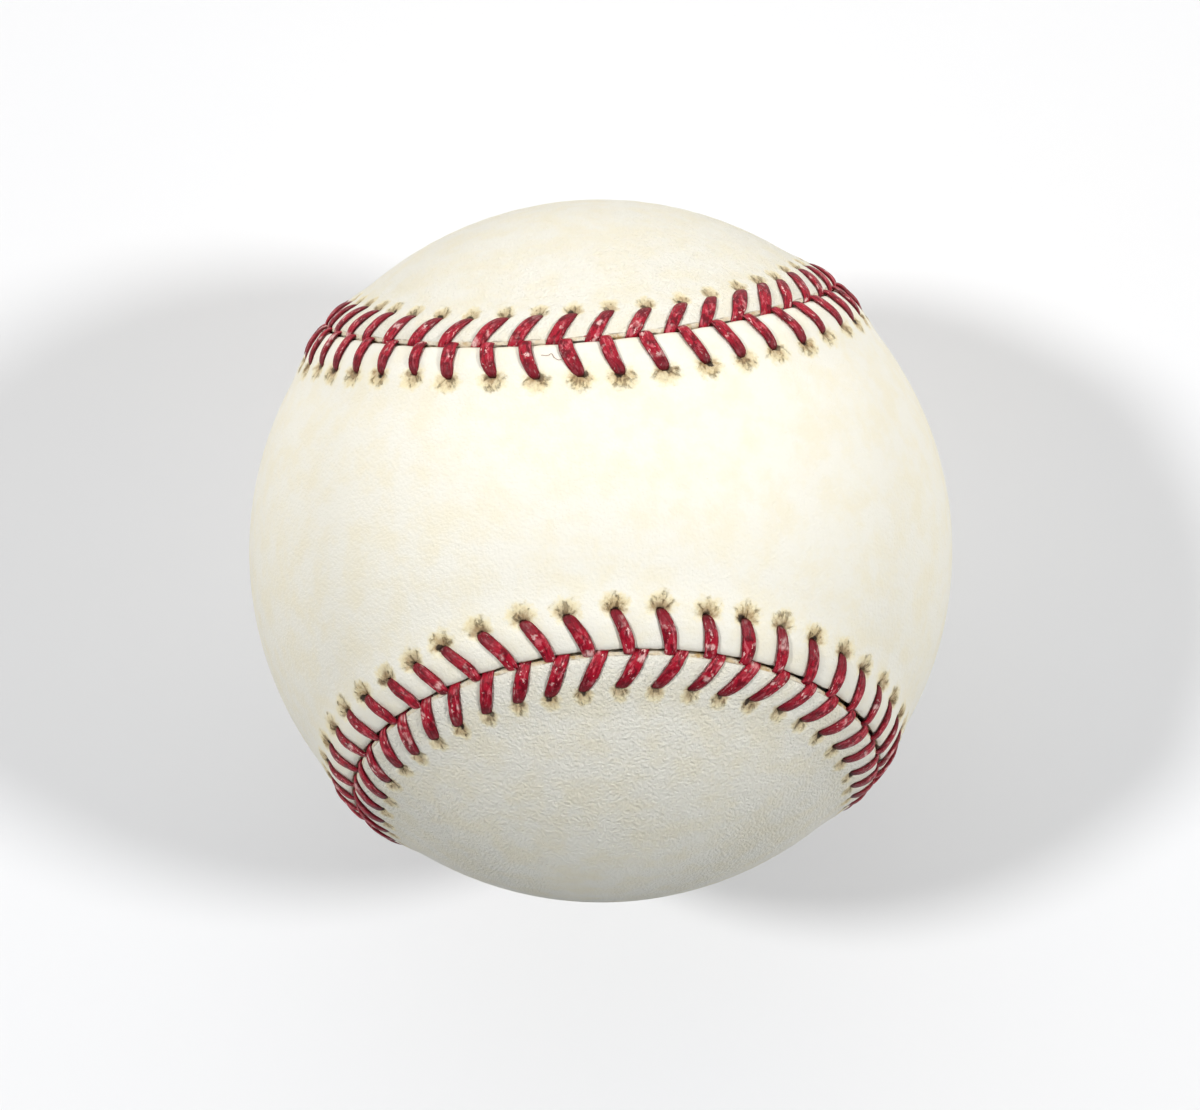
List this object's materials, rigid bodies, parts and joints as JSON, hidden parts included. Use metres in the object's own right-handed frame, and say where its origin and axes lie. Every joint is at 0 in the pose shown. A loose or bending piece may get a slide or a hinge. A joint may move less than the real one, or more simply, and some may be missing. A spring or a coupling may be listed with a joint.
{
  "type": "baseball",
  "caption": "Ball for bat-and-ball sport: rubber-covered cork core, wound yarn, and a leather cover in two figure-of-eight panels laced along a raised red seam.",
  "frame": {"origin": "centre of the ball", "axes": "+Z through the waist of the upper cover panel, whose lobes lie along +X and -X; the lower panel's lobes lie along +Y and -Y"},
  "size_m": [0.0744, 0.0744, 0.0744],
  "materials": {
    "cork": "pressed cork crumb with dark rubber specks",
    "black_rubber": "moulded, matt",
    "washer_rubber": "cut sheet rubber, matt",
    "red_rubber": "moulded, matt, with a faint mould line",
    "coarse_grey_wool": "wound four-ply yarn",
    "white_wool": "wound three-ply yarn",
    "fine_grey_wool": "wound three-ply yarn",
    "white_cotton": "wound fine yarn",
    "rubber_cement": "thin dried coat, satin",
    "cover_leather": "alum-tanned ivory leather with fine pebble grain, soft sheen",
    "red_thread": "waxed crimson thread, flattened, slight sheen"
  },
  "bodies": {
    "root": {"cork_core": "cork", "inner_rubber_shell_lower": "black_rubber", "inner_rubber_shell_upper": "black_rubber", "rubber_washer_lower": "washer_rubber", "rubber_washer_upper": "washer_rubber", "outer_rubber_shell": "red_rubber", "first_winding": "coarse_grey_wool", "second_winding": "white_wool", "third_winding": "fine_grey_wool", "finishing_winding": "white_cotton", "cement_coat": "rubber_cement", "cover_panel_upper": "cover_leather", "cover_panel_lower": "cover_leather", "lacing_thread_a": "red_thread", "lacing_thread_b": "red_thread"}
  },
  "joints": []
}
